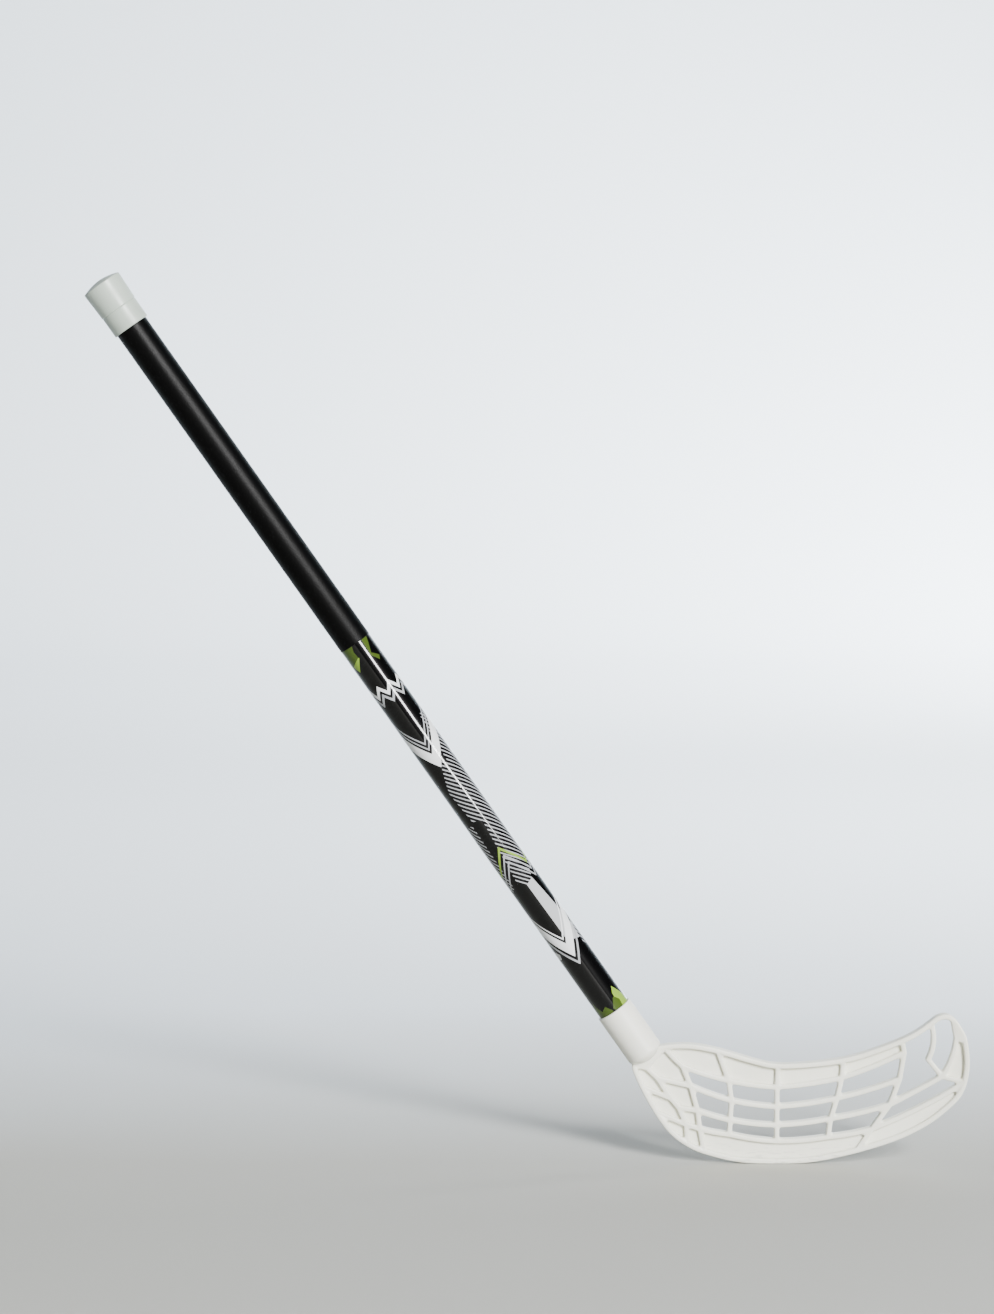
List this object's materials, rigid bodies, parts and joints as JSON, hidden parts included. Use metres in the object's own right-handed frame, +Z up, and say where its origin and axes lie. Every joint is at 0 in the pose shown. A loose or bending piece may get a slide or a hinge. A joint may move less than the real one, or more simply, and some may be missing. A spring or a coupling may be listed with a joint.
{
  "type": "floorball stick",
  "caption": "Floorball stick: a hooked, ribbed open-lattice blade with a moulded socket, on a straight round shaft with a printed film, a grip sleeve and a flared end cap.",
  "frame": {"origin": "on the flat of the sole, in the middle plane of the blade's straight part", "axes": "+X along the blade to the toe, +Y to the back of the blade, +Z up from the sole; the shaft leans up towards -X in the XZ plane and the toe hooks towards -Y"},
  "size_m": [0.6581, 0.0375, 0.6691],
  "materials": {
    "blade_plastic": "smooth moulded white plastic",
    "tube_composite": "dark fibre composite, bare",
    "print_film": "glossy film printed in black, white, grey and green",
    "grip_rubber": "matt black, fine grain",
    "cap_plastic": "pale grey moulded plastic",
    "screw_steel": "zinc-plated steel"
  },
  "bodies": {
    "root": {"blade": "blade_plastic", "shaft_tube": "tube_composite", "print_sleeve": "print_film", "grip_sleeve": "grip_rubber", "end_cap": "cap_plastic", "blade_screw": "screw_steel"}
  },
  "joints": []
}
